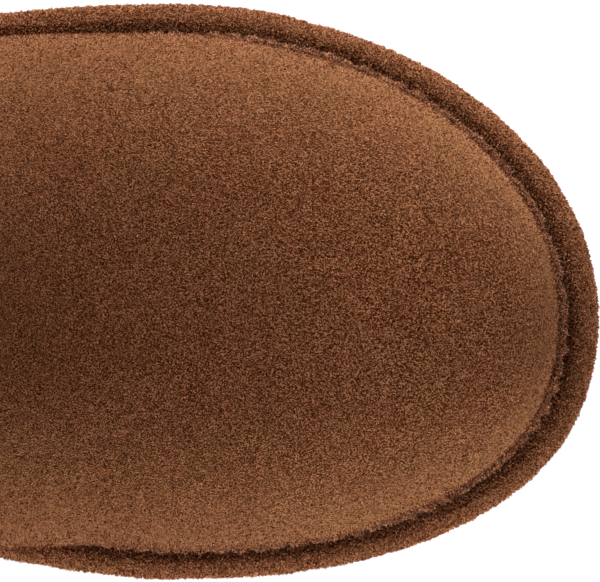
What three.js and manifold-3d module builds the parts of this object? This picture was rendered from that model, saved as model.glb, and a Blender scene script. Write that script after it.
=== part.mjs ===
// A left sheepskin boot, standing on its sole, in millimetres.
// +Y points to the toe, +X to the inner side of the foot (medial), +Z up. The origin is on the
// ground, under the middle of the sole.
import * as THREE from "three";
import { mergeVertices } from "three/addons/utils/BufferGeometryUtils.js";
import Module from "manifold-3d";

const wasm = await Module();
wasm.setup();

// Sole sizes
const LENGTH = 268; // heel to toe, over the wrapped midsole
const BALL_WIDTH = 104; // over the wrapped midsole, where it is widest
const TOE_SPRING = 8; // how far the sole's tip stands off the ground
const OUTSOLE = 8; // thickness of the outsole, lugs included
const MIDSOLE = 15; // thickness of the midsole under the ball
const HEEL_LIFT = 6; // how much more the midsole has under the heel
const OUTSOLE_INSET = 1.4; // the outsole's side, inside the midsole's
const SOLE_CHAMFER = 1.6; // on the outsole's lower edge
const WRAP_ROUND = 8; // height of the midsole's rounded shoulder
const WRAP_UNDER = 2.2; // how far the midsole's side turns in at its lower edge

// Tread sizes
const GROOVE_DEPTH = 2.6;
const GROOVE_WIDTH = 3.4;
const GROOVE_PITCH = 12.5;
const GROOVE_WAVE = 4.2; // how far a groove swings to and fro
const GROOVE_BENDS = 6; // swings across the sole

// Upper sizes
const BOOT_HEIGHT = 222;
const SHAFT_LENGTH = 134; // the collar, front to back
const SHAFT_WIDTH = 108; // the collar, side to side
const SHAFT_CENTRE = 71; // from the heel's back to the middle of the shaft
const INSTEP = 63; // height of the dome at the throat, above the toe wall
const TOE_WALL = 12; // height of the upright wall round the toe
const WALL = 8.5; // the sheepskin: 1.5 of hide and 7 of trimmed fleece
const LEDGE = 7; // midsole showing beyond the foot of the upper, at the sides
const TOE_LEDGE = 8.9; // the same at the toe
const BULGE = 1.2; // how far the upper swells out over its foot
const SWELL_HEIGHT = 26; // over this height it swells on, as the SWELL table says
const BLEND = 34; // size of the soft bend between foot and shaft

// Pieces on the upper
const LIP_WIDTH = 2.5; // the raw edge of the hide, turned out over the midsole
const LIP_THICKNESS = 1.5;
const OVERLAY = 1.5; // thickness of heel counter and back stay
const COUNTER_HEIGHT = 60; // at the back
const COUNTER_LENGTH = 84; // from the heel's back to its front ends
const COUNTER_FRONT = 0.42; // height of its front end, as a share of the height at the back
const STAY_WIDTH = 22;
const STAY_BELOW_COLLAR = 1;
const INSOLE = 7; // sheepskin footbed
const GAP = 0.3; // between touching pieces

// Mesh counts
const SOLE_COLUMNS = 96;
const UPPER_COLUMNS = 64;
const COUNTER_STEPS = 10;
const SOLVE_STEPS = 34;
const FORM_SIZE = 45; // turns a gauge into rough millimetres

// Plan of the wrapped midsole: at is a share of LENGTH from the heel, medial and lateral are the
// half widths as shares of BALL_WIDTH.
const PLAN = [
  { at: 0.145, medial: 0.362, lateral: 0.37 },
  { at: 0.27, medial: 0.345, lateral: 0.378 },
  { at: 0.42, medial: 0.345, lateral: 0.412 },
  { at: 0.6, medial: 0.47, lateral: 0.483 },
  { at: 0.71, medial: 0.5, lateral: 0.5 },
];
const BALL = { medial: 0.724, lateral: 0.7 }; // where each side is widest, as a share of LENGTH
const TOE_POWER = { medial: 2.235, lateral: 2.05 }; // 2 is an ellipse, more is squarer
const HEEL_POWER = 2.15;
const TOE_OFFSET = 0.052; // of the tip towards the inner side, as a share of BALL_WIDTH

// Height of the tread over the ground, as a share of TOE_SPRING
const GROUND = [
  { at: 0, lift: 0.22 },
  { at: 0.07, lift: 0 },
  { at: 0.31, lift: 0 },
  { at: 0.44, lift: 0.34 },
  { at: 0.57, lift: 0 },
  { at: 0.79, lift: 0 },
  { at: 0.9, lift: 0.3 },
  { at: 1, lift: 1 },
];
const LIFT = [
  { at: 0, lift: 1 },
  { at: 0.22, lift: 1 },
  { at: 0.62, lift: 0 },
  { at: 1, lift: 0 },
];

// Height of the foot's dome along the boot, over the toe wall, as a share of INSTEP
const DOME = [
  { at: 0, height: 0.9 },
  { at: 0.15, height: 1.06 },
  { at: 0.34, height: 1.12 },
  { at: 0.515, height: 1.0 },
  { at: 0.59, height: 0.85 },
  { at: 0.664, height: 0.72 },
  { at: 0.739, height: 0.625 },
  { at: 0.813, height: 0.56 },
  { at: 0.888, height: 0.52 },
  { at: 1, height: 0.5 },
];
const DOME_POWER = { across: 2.55, up: 2.15 };
const CREST = { from: 0.35, to: 0.69, blend: 50 }; // shares of LENGTH, and millimetres across

// How much further than BULGE each side swells out along the boot, in shares of BALL_WIDTH
const SWELL = [
  { at: 0, medial: 0.009, lateral: 0.009 },
  { at: 0.15, medial: 0.009, lateral: 0.009 },
  { at: 0.42, medial: 0.046, lateral: 0.026 },
  { at: 0.6, medial: 0.03, lateral: 0.009 },
  { at: 0.69, medial: 0, lateral: 0 },
];

// The shaft: up is a share of BOOT_HEIGHT, front and back are shares of half of SHAFT_LENGTH from
// the shaft's centre, side is a share of half of SHAFT_WIDTH.
const SHAFT = [
  { up: 0.1, front: 1.08, back: 0.8, side: 0.52 },
  { up: 0.2, front: 1.06, back: 0.93, side: 0.68 },
  { up: 0.32, front: 1.03, back: 0.96, side: 0.79 },
  { up: 0.45, front: 1.0, back: 0.94, side: 0.865 },
  { up: 0.6, front: 0.98, back: 0.94, side: 0.92 },
  { up: 0.8, front: 0.985, back: 0.965, side: 0.97 },
  { up: 1, front: 1, back: 1, side: 1 },
];
const SHAFT_POWER = 2.12;

// Heights of the upper's mesh rows over its foot, as shares of its whole height
const UPPER_ROWS = [
  0, 0.03, 0.06, 0.1, 0.14, 0.175, 0.21, 0.24, 0.27, 0.3, 0.335, 0.37, 0.41, 0.46, 0.53, 0.62, 0.72,
  0.82, 0.91, 1,
];

const clamp = (v, low, high) => Math.min(high, Math.max(low, v));
const mix = (a, b, t) => a + (b - a) * t;
const smooth = (t) => {
  const c = clamp(t, 0, 1);
  return c * c * (3 - 2 * c);
};

// A table's column as a smooth function of another column: it never passes the rows' own values,
// and it is level at both ends and on flat stretches.
function tableAt(rows, along, column, value) {
  const last = rows.length - 1;
  const at = clamp(value, rows[0][along], rows[last][along]);
  let i = 0;
  while (i < last - 1 && at > rows[i + 1][along]) i += 1;
  const chord = (k) =>
    (rows[k + 1][column] - rows[k][column]) / (rows[k + 1][along] - rows[k][along]);
  const slope = (k) => {
    if (k === 0 || k === last || chord(k - 1) * chord(k) <= 0) return 0;
    return (2 * chord(k - 1) * chord(k)) / (chord(k - 1) + chord(k));
  };
  const run = rows[i + 1][along] - rows[i][along];
  const t = (at - rows[i][along]) / run;
  const a = rows[i][column];
  const b = rows[i + 1][column];
  const rise = t * t * (3 - 2 * t);
  const lead = t * (1 - t) * (1 - t) * run * slope(i);
  const trail = t * t * (1 - t) * run * slope(i + 1);
  return mix(a, b, rise) + lead - trail;
}

const shareOf = (y) => (y + LENGTH / 2) / LENGTH;
const placeOf = (share) => share * LENGTH - LENGTH / 2;

const groundAt = (y) => TOE_SPRING * tableAt(GROUND, "at", "lift", shareOf(y));
const partingAt = (y) => groundAt(y) + OUTSOLE;
const seatAt = (y) => {
  const lift = HEEL_LIFT * tableAt(LIFT, "at", "lift", shareOf(y));
  return partingAt(y) + MIDSOLE + lift;
};

// Sizes of one side of the plan, drawn in by inset: more at the toe than at the sides.
function sideSizes(side, inset) {
  const sign = side === "medial" ? 1 : -1;
  return {
    sign,
    tipX: BALL_WIDTH * TOE_OFFSET,
    tipY: LENGTH / 2 - (inset * TOE_LEDGE) / LEDGE,
    heelY: inset - LENGTH / 2,
    ballY: placeOf(BALL[side]),
    backY: placeOf(PLAN[0].at),
    ballX: sign * (BALL_WIDTH * 0.5 - inset),
    backX: sign * (BALL_WIDTH * PLAN[0][side] - inset),
  };
}

const arc = (t, power) => Math.pow(Math.max(0, 1 - Math.pow(t, power)), 1 / power);

// The plan's edge on one side, as x at a place y along the boot.
function edgeAt(side, y, inset) {
  const s = sideSizes(side, inset);
  if (y >= s.ballY) {
    const t = Math.min(1, (y - s.ballY) / (s.tipY - s.ballY));
    return s.tipX + (s.ballX - s.tipX) * arc(t, TOE_POWER[side]);
  }
  if (y <= s.backY) {
    const t = Math.min(1, (s.backY - y) / (s.backY - s.heelY));
    return s.backX * arc(t, HEEL_POWER);
  }
  const share = mix(PLAN[0].at, PLAN[PLAN.length - 1].at, (y - s.backY) / (s.ballY - s.backY));
  return s.sign * (BALL_WIDTH * tableAt(PLAN, "at", side, share) - inset);
}

// Where a turn round the boot changes from toe to side and from side to heel, as shares of half a
// turn. A turn starts at the toe's tip and goes along the inner side.
const TOE_SHARE = 0.36;
const HEEL_SHARE = 0.8;

function splitTurn(turn) {
  const whole = turn - Math.floor(turn);
  const side = whole <= 0.5 ? "medial" : "lateral";
  return { side, half: side === "medial" ? whole * 2 : 2 - whole * 2 };
}

// A point of the plan's edge, with the spine point that it faces.
function planPoint(turn, inset) {
  const { side, half } = splitTurn(turn);
  const s = sideSizes(side, inset);
  if (half < TOE_SHARE) {
    const angle = (half / TOE_SHARE) * (Math.PI / 2);
    const power = 2 / TOE_POWER[side];
    return {
      x: s.tipX + (s.ballX - s.tipX) * Math.pow(Math.sin(angle), power),
      y: s.ballY + (s.tipY - s.ballY) * Math.pow(Math.cos(angle), power),
      spine: s.ballY,
    };
  }
  if (half > HEEL_SHARE) {
    const angle = ((half - HEEL_SHARE) / (1 - HEEL_SHARE)) * (Math.PI / 2);
    const power = 2 / HEEL_POWER;
    return {
      x: s.backX * Math.pow(Math.max(0, Math.cos(angle)), power),
      y: s.backY - (s.backY - s.heelY) * Math.pow(Math.sin(angle), power),
      spine: s.backY,
    };
  }
  const y = mix(s.ballY, s.backY, (half - TOE_SHARE) / (HEEL_SHARE - TOE_SHARE));
  return { x: edgeAt(side, y, inset), y, spine: y };
}

// The foot's crest line: along the middle at the heel, and towards the inner side at the toe.
const crestAt = (y) =>
  BALL_WIDTH * TOE_OFFSET * smooth((shareOf(y) - CREST.from) / (CREST.to - CREST.from));

// Where a point lies in the plan: 0 on the crest line, 1 on the edge.
function planGauge(x, y, inset) {
  const off = x - crestAt(y);
  const side = off > 0 ? "medial" : "lateral";
  const s = sideSizes(side, inset);
  const inner = smooth(0.5 + off / CREST.blend);
  const ballY = placeOf(mix(BALL.lateral, BALL.medial, inner));
  if (y > ballY) {
    const power = mix(TOE_POWER.lateral, TOE_POWER.medial, inner);
    const across = Math.abs(off / (s.ballX - s.tipX));
    const along = (y - ballY) / (s.tipY - ballY);
    return Math.pow(Math.pow(across, power) + Math.pow(along, power), 1 / power);
  }
  if (y < s.backY) {
    const across = Math.abs(off / s.backX);
    const along = (s.backY - y) / (s.backY - s.heelY);
    return Math.pow(Math.pow(across, HEEL_POWER) + Math.pow(along, HEEL_POWER), 1 / HEEL_POWER);
  }
  return Math.abs(off / (edgeAt(side, y, inset) - crestAt(y)));
}

// Rises from 0 to 1 and levels out there.
const swung = (t) => 1 - Math.pow(1 - clamp(t, 0, 1), 2);

// How far outside the foot's form a point is, roughly in millimetres: an upright wall that swells
// a little, and a dome over it.
function footGauge(x, y, z) {
  const up = z - seatAt(y);
  const share = shareOf(y);
  const side = x > crestAt(y) ? "medial" : "lateral";
  const swell = BALL_WIDTH * tableAt(SWELL, "at", side, share);
  const inset = LEDGE - BULGE * swung(up / TOE_WALL) - swell * swung(up / SWELL_HEIGHT);
  const plan = planGauge(x, y, inset);
  const dome = INSTEP * tableAt(DOME, "at", "height", share);
  const high = Math.max(0, up - TOE_WALL) / dome;
  const sum = Math.pow(plan, DOME_POWER.across) + Math.pow(high, DOME_POWER.up);
  return FORM_SIZE * (Math.pow(sum, 2 / (DOME_POWER.across + DOME_POWER.up)) - 1);
}

// The same for the shaft's form.
function shaftGauge(x, y, z) {
  const up = z / BOOT_HEIGHT;
  const centre = SHAFT_CENTRE - LENGTH / 2;
  const end = y > centre ? "front" : "back";
  const reach = (SHAFT_LENGTH / 2) * tableAt(SHAFT, "up", end, up);
  const wide = (SHAFT_WIDTH / 2) * tableAt(SHAFT, "up", "side", up);
  const across = Math.pow(Math.abs(x) / wide, SHAFT_POWER);
  const along = Math.pow(Math.abs(y - centre) / reach, SHAFT_POWER);
  return FORM_SIZE * (Math.pow(across + along, 1 / SHAFT_POWER) - 1);
}

// Foot and shaft joined softly. At the foot of the upper the join is sharp, so that the plan holds.
function bootGauge(x, y, z) {
  const foot = footGauge(x, y, z);
  const shaft = shaftGauge(x, y, z);
  const size = BLEND * smooth((z - seatAt(y)) / 45) + GAP;
  const near = Math.max(0, size - Math.abs(foot - shaft)) / size;
  return Math.min(foot, shaft) - (near * near * near * size) / 6;
}

// Height of a point at a share of the upper's height: the lowest row follows the midsole's top.
function rowHeight(share, y) {
  const level = placeOf(0.5);
  const seat = mix(seatAt(y), seatAt(level), smooth(share / 0.5));
  return seat + share * (BOOT_HEIGHT - seatAt(level));
}

// A point of the upper's outer face, found along a ray from the boot's spine.
const SPINE_START = 0.1;
const SPINE_END = 0.5;
function outerPoint(turn, share) {
  const foot = planPoint(turn, LEDGE);
  const angle = turn * 2 * Math.PI;
  const moved = smooth((share - SPINE_START) / (SPINE_END - SPINE_START));
  const centre = SHAFT_CENTRE - LENGTH / 2;
  const spineY = mix(foot.spine, centre, moved);
  const dirX = mix(foot.x, (Math.sin(angle) * SHAFT_WIDTH) / 2, moved);
  const dirY = mix(foot.y - foot.spine, (Math.cos(angle) * SHAFT_LENGTH) / 2, moved);
  const far = 1.6;
  let low = 0;
  let high = far;
  for (let i = 0; i < SOLVE_STEPS; i += 1) {
    const t = (low + high) / 2;
    const y = spineY + dirY * t;
    if (bootGauge(dirX * t, y, rowHeight(share, y)) < 0) low = t;
    else high = t;
  }
  const y = spineY + dirY * low;
  return new THREE.Vector3(dirX * low, y, rowHeight(share, y));
}

// The upper's face moved out by offset along its normal. At its foot and at the collar it moves
// level, so that both ends stay in their own faces.
const PROBE = 0.002;
function shellPoint(turn, share, offset) {
  const point = outerPoint(turn, share);
  if (offset === 0) return point;
  const round = outerPoint(turn + PROBE, share).sub(outerPoint(turn - PROBE, share));
  const up = outerPoint(turn, Math.min(1, share + PROBE));
  up.sub(outerPoint(turn, Math.max(0, share - PROBE)));
  const normal = up.cross(round).normalize();
  normal.z *= smooth(share / 0.06) * smooth((1 - share) / 0.08);
  normal.normalize();
  point.addScaledVector(normal, offset);
  if (share === 0) point.z = seatAt(point.y);
  if (share === 1) point.z = BOOT_HEIGHT;
  return point;
}

// A closed mesh from rings of points that all have the same count.
function ringMesh(rings, closing) {
  const count = rings[0].length;
  const positions = rings.flat().flatMap((p) => [p.x, p.y, p.z]);
  const index = [];
  const steps = closing === "joined" ? rings.length : rings.length - 1;
  for (let r = 0; r < steps; r += 1) {
    const a = r * count;
    const b = ((r + 1) % rings.length) * count;
    for (let i = 0; i < count; i += 1) {
      const j = (i + 1) % count;
      index.push(a + i, a + j, b + j, a + i, b + j, b + i);
    }
  }
  if (closing === "capped") {
    const top = (rings.length - 1) * count;
    for (let i = 0; i < count / 2; i += 1) {
      const left = (count - i) % count;
      const nextLeft = (count - i - 1) % count;
      const quad = [i, i + 1, nextLeft, left];
      for (const [p, q, r] of [[0, 1, 2], [0, 2, 3]]) {
        if (new Set([quad[p], quad[q], quad[r]]).size < 3) continue;
        index.push(quad[p], quad[r], quad[q]);
        index.push(top + quad[p], top + quad[q], top + quad[r]);
      }
    }
  }
  const geometry = new THREE.BufferGeometry();
  geometry.setAttribute("position", new THREE.Float32BufferAttribute(positions, 3));
  geometry.setIndex(index);
  return geometry;
}

// A ring round the boot at a plan inset, at the height that heightAt gives.
function planRing(inset, heightAt, count = SOLE_COLUMNS) {
  return Array.from({ length: count }, (_, i) => {
    const { x, y } = planPoint(-i / count, inset);
    return new THREE.Vector3(x, y, heightAt(y));
  });
}

function shellRing(share, offset, count = UPPER_COLUMNS) {
  return Array.from({ length: count }, (_, i) => shellPoint(-i / count, share, offset));
}

function toSolid(geometry) {
  const bare = geometry.clone();
  bare.deleteAttribute("normal");
  bare.deleteAttribute("uv");
  const merged = mergeVertices(bare, 1e-4);
  return new wasm.Manifold(
    new wasm.Mesh({
      numProp: 3,
      vertProperties: merged.attributes.position.array,
      triVerts: new Uint32Array(merged.index.array),
    }),
  );
}

function fromSolid(solid) {
  const mesh = solid.getMesh();
  const geometry = new THREE.BufferGeometry();
  geometry.setAttribute("position", new THREE.BufferAttribute(mesh.vertProperties, 3));
  geometry.setIndex(new THREE.BufferAttribute(mesh.triVerts, 1));
  return geometry;
}

// One wavy groove across the sole, standing on the tread plane at its place along the boot.
function groove(y) {
  const reach = BALL_WIDTH * 0.6;
  const steps = GROOVE_BENDS * 2;
  const front = [];
  const back = [];
  for (let i = 0; i <= steps; i += 1) {
    const x = mix(-reach, reach, i / steps);
    const swing = (i % 2 ? 1 : -1) * (GROOVE_WAVE / 2);
    front.push(new THREE.Vector2(x, swing + GROOVE_WIDTH / 2));
    back.push(new THREE.Vector2(x, swing - GROOVE_WIDTH / 2));
  }
  const shape = new THREE.Shape([...back, ...front.reverse()]);
  const cutter = new THREE.ExtrudeGeometry(shape, {
    depth: GROOVE_DEPTH + OUTSOLE,
    bevelEnabled: false,
  });
  cutter.translate(0, y, groundAt(y) - OUTSOLE);
  return toSolid(cutter);
}

// Tread fields along the sole, as shares of LENGTH: the arch between them stays smooth.
const TREAD_FIELDS = [
  { from: 0.035, to: 0.31 },
  { from: 0.55, to: 0.965 },
];

function outsole() {
  const top = (y) => partingAt(y) - GAP / 2;
  const side = OUTSOLE_INSET;
  const rings = [
    planRing(side + SOLE_CHAMFER, groundAt),
    planRing(side, (y) => groundAt(y) + SOLE_CHAMFER),
    planRing(side, top),
  ];
  let solid = toSolid(ringMesh(rings, "capped"));
  for (const field of TREAD_FIELDS) {
    const length = (field.to - field.from) * LENGTH;
    const grooves = Math.floor(length / GROOVE_PITCH);
    for (let i = 0; i < grooves; i += 1) {
      const y = placeOf(field.from) + (i + 0.5) * (length / grooves);
      solid = solid.subtract(groove(y));
    }
  }
  return fromSolid(solid);
}

// The midsole in its suede wrap: a soft side that turns in below and rolls over at the top.
function midsole() {
  const bottom = (y) => partingAt(y) + GAP / 2;
  const shoulder = LEDGE - LIP_WIDTH;
  const rings = [
    planRing(WRAP_UNDER + 1.6, bottom),
    planRing(WRAP_UNDER * 0.6, (y) => bottom(y) + 0.6),
    planRing(WRAP_UNDER * 0.12, (y) => bottom(y) + 2.4),
    planRing(0, (y) => mix(bottom(y), seatAt(y) - WRAP_ROUND, 0.75)),
  ];
  const steps = 6;
  for (let i = 1; i <= steps; i += 1) {
    const angle = (i / steps) * (Math.PI / 2);
    const inset = shoulder * (1 - Math.cos(angle));
    rings.push(planRing(inset, (y) => seatAt(y) - WRAP_ROUND * (1 - Math.sin(angle))));
  }
  return ringMesh(rings, "capped");
}

// Where the overlays start on the upper, over the lip, as a share of the upper's height
const overlayFoot = (GAP + LIP_THICKNESS + GAP) / (BOOT_HEIGHT - seatAt(placeOf(0.5)));

// The raw edge of the hide, turned out flat on the midsole all round.
function seamLip() {
  const outer = LEDGE - LIP_WIDTH;
  const low = (y) => seatAt(y) + GAP;
  const high = (y) => seatAt(y) + GAP + LIP_THICKNESS;
  const atShell = (heightAt) =>
    Array.from({ length: SOLE_COLUMNS }, (_, i) => {
      const point = shellPoint(-i / SOLE_COLUMNS, overlayFoot, GAP * 1.4);
      point.z = heightAt(point.y);
      return point;
    });
  const rings = [planRing(outer, low), planRing(outer, high), atShell(high), atShell(low)];
  return ringMesh(rings, "joined");
}

function upper() {
  const outer = UPPER_ROWS.map((share) => shellRing(share, 0));
  const inner = UPPER_ROWS.map((share) => shellRing(share, -WALL)).reverse();
  for (const point of [...outer[0], ...inner[inner.length - 1]]) point.z += GAP;
  return ringMesh([...outer, ...inner], "joined");
}

function insole() {
  const ring = (heightAt) =>
    Array.from({ length: SOLE_COLUMNS }, (_, i) => {
      const point = shellPoint(-i / SOLE_COLUMNS, 0, -WALL - GAP - BULGE);
      point.z = heightAt(point.y);
      return point;
    });
  const low = (y) => seatAt(y) + GAP;
  const high = (y) => seatAt(y) + GAP + INSOLE;
  return ringMesh([ring(low), ring(high)], "capped");
}

// The skin between two larger forms of the upper, which the overlays are cut from.
function skin() {
  const form = (offset) =>
    toSolid(ringMesh(UPPER_ROWS.map((share) => shellRing(share, offset)), "capped"));
  return form(GAP + OVERLAY).subtract(form(GAP));
}

// A prism through the boot from side to side, from its outline as seen from the side: lists of
// places along the boot with the heights of its lower and its upper edge.
function sidePrism(places, lowAt, highAt) {
  const low = places.map((y) => new THREE.Vector2(y, lowAt(y)));
  const high = places.map((y) => new THREE.Vector2(y, highAt(y)));
  const shape = new THREE.Shape([...low, ...high.reverse()]);
  const prism = new THREE.ExtrudeGeometry(shape, { depth: SHAFT_WIDTH * 2, bevelEnabled: false });
  prism.translate(0, 0, -SHAFT_WIDTH);
  const alongBoot = new THREE.Vector3(0, 1, 0);
  const upright = new THREE.Vector3(0, 0, 1);
  const toInner = new THREE.Vector3(1, 0, 0);
  prism.applyMatrix4(new THREE.Matrix4().makeBasis(alongBoot, upright, toInner));
  return toSolid(prism);
}

// The counter's top edge: highest at the back, falling in a soft curve to its two front ends.
const counterTop = (y) => {
  const away = (y + LENGTH / 2) / COUNTER_LENGTH;
  const fall = smooth(away) * (1 - COUNTER_FRONT);
  return seatAt(y) + COUNTER_HEIGHT * (1 - fall);
};

// Round the heel, standing on the lip.
function heelCounter() {
  const places = [-LENGTH];
  for (let i = 0; i <= COUNTER_STEPS; i += 1) {
    places.push((i / COUNTER_STEPS) * COUNTER_LENGTH - LENGTH / 2);
  }
  const foot = (y) => seatAt(y) + GAP + LIP_THICKNESS + GAP;
  return fromSolid(skin().intersect(sidePrism(places, foot, counterTop)));
}

// Up the back seam, from the counter to just under the collar.
function backStay() {
  const heelBack = outerPoint(0.5, COUNTER_HEIGHT / (BOOT_HEIGHT - seatAt(0))).y;
  const bottom = counterTop(heelBack) + GAP;
  const height = BOOT_HEIGHT - STAY_BELOW_COLLAR - bottom;
  const block = new THREE.BoxGeometry(STAY_WIDTH, LENGTH / 2, height);
  block.translate(0, SHAFT_CENTRE - LENGTH * 0.75, bottom + height / 2);
  return fromSolid(skin().intersect(toSolid(block)));
}

// Colours as the photograph's, in sRGB
const SUEDE = { color: 0x7a4b2f, roughness: 0.95 };
const SUEDE_EDGE = { color: 0x6b4434, roughness: 0.95 };
const FLEECE = { color: 0xc79f74, roughness: 1 };
const RUBBER = { color: 0x6e4a33, roughness: 0.7 };

const boot = new THREE.Group();
function add(name, geometry, look) {
  const material = new THREE.MeshStandardMaterial({ ...look, metalness: 0 });
  const mesh = new THREE.Mesh(geometry, material);
  mesh.name = name;
  boot.add(mesh);
}

add("outsole", outsole(), RUBBER);
add("midsole", midsole(), SUEDE);
add("insole", insole(), FLEECE);
add("seam_lip", seamLip(), SUEDE_EDGE);
add("upper", upper(), SUEDE);
add("heel_counter", heelCounter(), SUEDE);
add("back_stay", backStay(), SUEDE);

export default boot;
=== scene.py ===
import math

import bpy
import mathutils
import numpy as np
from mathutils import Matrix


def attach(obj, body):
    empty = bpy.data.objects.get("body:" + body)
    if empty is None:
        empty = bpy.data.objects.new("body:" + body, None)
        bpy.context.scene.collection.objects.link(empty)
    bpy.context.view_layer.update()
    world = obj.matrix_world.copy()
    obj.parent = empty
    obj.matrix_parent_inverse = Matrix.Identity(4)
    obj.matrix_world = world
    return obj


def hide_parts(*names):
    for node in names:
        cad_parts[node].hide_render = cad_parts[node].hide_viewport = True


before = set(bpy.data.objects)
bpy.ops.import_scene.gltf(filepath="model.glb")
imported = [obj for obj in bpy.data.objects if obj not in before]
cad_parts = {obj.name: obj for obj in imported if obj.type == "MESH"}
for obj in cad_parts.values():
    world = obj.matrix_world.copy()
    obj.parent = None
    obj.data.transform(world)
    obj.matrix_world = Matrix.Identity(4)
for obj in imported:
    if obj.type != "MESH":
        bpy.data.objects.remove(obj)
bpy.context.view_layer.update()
MM = 0.001

# Sizes of the boot, as the model has them
LENGTH = 268.0  # heel to toe, over the wrapped midsole
BALL_WIDTH = 104.0
TOE_SPRING = 8.0
OUTSOLE = 8.0  # its thickness, lugs included
MIDSOLE = 15.0  # its thickness under the ball
HEEL_LIFT = 6.0  # how much more it has under the heel
WRAP_ROUND = 8.0  # height of the midsole's rounded shoulder
WRAP_UNDER = 2.2  # how far the midsole's side turns in at its lower edge
BOOT_HEIGHT = 222.0
SHAFT_LENGTH = 134.0
SHAFT_WIDTH = 108.0
SHAFT_CENTRE = 71.0  # from the heel's back to the middle of the shaft
INSTEP = 63.0
TOE_WALL = 12.0
WALL = 8.5
LEDGE = 7.0  # midsole showing beyond the foot of the upper, at the sides
TOE_LEDGE = 8.9
BULGE = 1.2  # how far the upper swells out over its foot
SWELL_HEIGHT = 26.0
BLEND = 34.0  # size of the soft bend between foot and shaft
BLEND_CLIMB = 45.0  # the bend has that size from this height over the seat
GAP = 0.3
FORM_SIZE = 45.0  # turns a gauge into rough millimetres
LIP_WIDTH = 2.5
COUNTER_HEIGHT = 60.0
COUNTER_LENGTH = 84.0
COUNTER_FRONT = 0.42  # height of its front end, as a share of the height at the back
STAY_WIDTH = 22.0
INSOLE = 7.0
HIDE = 1.5  # thickness of the hide, nap included

PLAN = {
    "at": [0.145, 0.27, 0.42, 0.6, 0.71],
    "medial": [0.362, 0.345, 0.345, 0.47, 0.5],
    "lateral": [0.37, 0.378, 0.412, 0.483, 0.5],
}
BALL = {"medial": 0.724, "lateral": 0.7}
TOE_POWER = {"medial": 2.235, "lateral": 2.05}
HEEL_POWER = 2.15
TOE_OFFSET = 0.052
GROUND = {
    "at": [0, 0.07, 0.31, 0.44, 0.57, 0.79, 0.9, 1],
    "lift": [0.22, 0, 0, 0.34, 0, 0, 0.3, 1],
}
LIFT = {"at": [0, 0.22, 0.62, 1], "lift": [1, 1, 0, 0]}
DOME = {
    "at": [0, 0.15, 0.34, 0.515, 0.59, 0.664, 0.739, 0.813, 0.888, 1],
    "height": [0.9, 1.06, 1.12, 1.0, 0.85, 0.72, 0.625, 0.56, 0.52, 0.5],
}
DOME_POWER = {"across": 2.55, "up": 2.15}
CREST = {"from": 0.35, "to": 0.69, "blend": 50.0}
SWELL = {
    "at": [0, 0.15, 0.42, 0.6, 0.69],
    "medial": [0.009, 0.009, 0.046, 0.03, 0],
    "lateral": [0.009, 0.009, 0.026, 0.009, 0],
}
SHAFT = {
    "up": [0.1, 0.2, 0.32, 0.45, 0.6, 0.8, 1],
    "front": [1.08, 1.06, 1.03, 1.0, 0.98, 0.985, 1],
    "back": [0.8, 0.93, 0.96, 0.94, 0.94, 0.965, 1],
    "side": [0.52, 0.68, 0.79, 0.865, 0.92, 0.97, 1],
}
SHAFT_POWER = 2.12
TOE_SHARE = 0.36
HEEL_SHARE = 0.8
SPINE_START = 0.1
SPINE_END = 0.5
RAY_REACH = 1.6  # how far a ray goes out, as a share of the plan's own reach
RAY_HALVINGS = 26


def mix(a, b, t):
    return a + (b - a) * t


def smooth(t):
    c = np.clip(t, 0, 1)
    return c * c * (3 - 2 * c)


def bell(distance, width):
    return np.exp(-((distance / width) ** 2))


def unit(vectors):
    """Vectors along the last axis, each made one long."""
    return vectors / np.maximum(np.linalg.norm(vectors, axis=-1, keepdims=True), 1e-9)


def table_at(table, along, column, value):
    """A table's column as a smooth function of another column, level at both ends."""
    xs = np.array(table[along], float)
    ys = np.array(table[column], float)
    chords = np.diff(ys) / np.diff(xs)
    before = np.concatenate([[0], chords])
    after = np.concatenate([chords, [0]])
    both = before * after
    total = np.where(both > 0, before + after, 1)
    slopes = np.where(both > 0, 2 * both / total, 0)
    at = np.clip(value, xs[0], xs[-1])
    i = np.clip(np.searchsorted(xs, at, side="left") - 1, 0, len(xs) - 2)
    run = xs[i + 1] - xs[i]
    t = (at - xs[i]) / run
    rise = t * t * (3 - 2 * t)
    lead = t * (1 - t) ** 2 * run * slopes[i]
    trail = t * t * (1 - t) * run * slopes[i + 1]
    return mix(ys[i], ys[i + 1], rise) + lead - trail


def share_of(y):
    return (y + LENGTH / 2) / LENGTH


def place_of(share):
    return share * LENGTH - LENGTH / 2


def ground_at(y):
    return TOE_SPRING * table_at(GROUND, "at", "lift", share_of(y))


def parting_at(y):
    return ground_at(y) + OUTSOLE


def seat_at(y):
    return parting_at(y) + MIDSOLE + HEEL_LIFT * table_at(LIFT, "at", "lift", share_of(y))


def side_sizes(side, inset):
    """Sizes of one side of the plan, drawn in by inset."""
    sign = 1 if side == "medial" else -1
    return {
        "sign": sign,
        "tip_x": BALL_WIDTH * TOE_OFFSET,
        "tip_y": LENGTH / 2 - inset * TOE_LEDGE / LEDGE,
        "heel_y": inset - LENGTH / 2,
        "ball_y": place_of(BALL[side]),
        "back_y": place_of(PLAN["at"][0]),
        "ball_x": sign * (BALL_WIDTH * 0.5 - inset),
        "back_x": sign * (BALL_WIDTH * PLAN[side][0] - inset),
    }


def waist_edge(side, y, inset):
    """x of the plan's edge between heel and ball."""
    s = side_sizes(side, inset)
    t = (y - s["back_y"]) / (s["ball_y"] - s["back_y"])
    share = mix(PLAN["at"][0], PLAN["at"][-1], t)
    return s["sign"] * (BALL_WIDTH * table_at(PLAN, "at", side, share) - inset)


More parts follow.
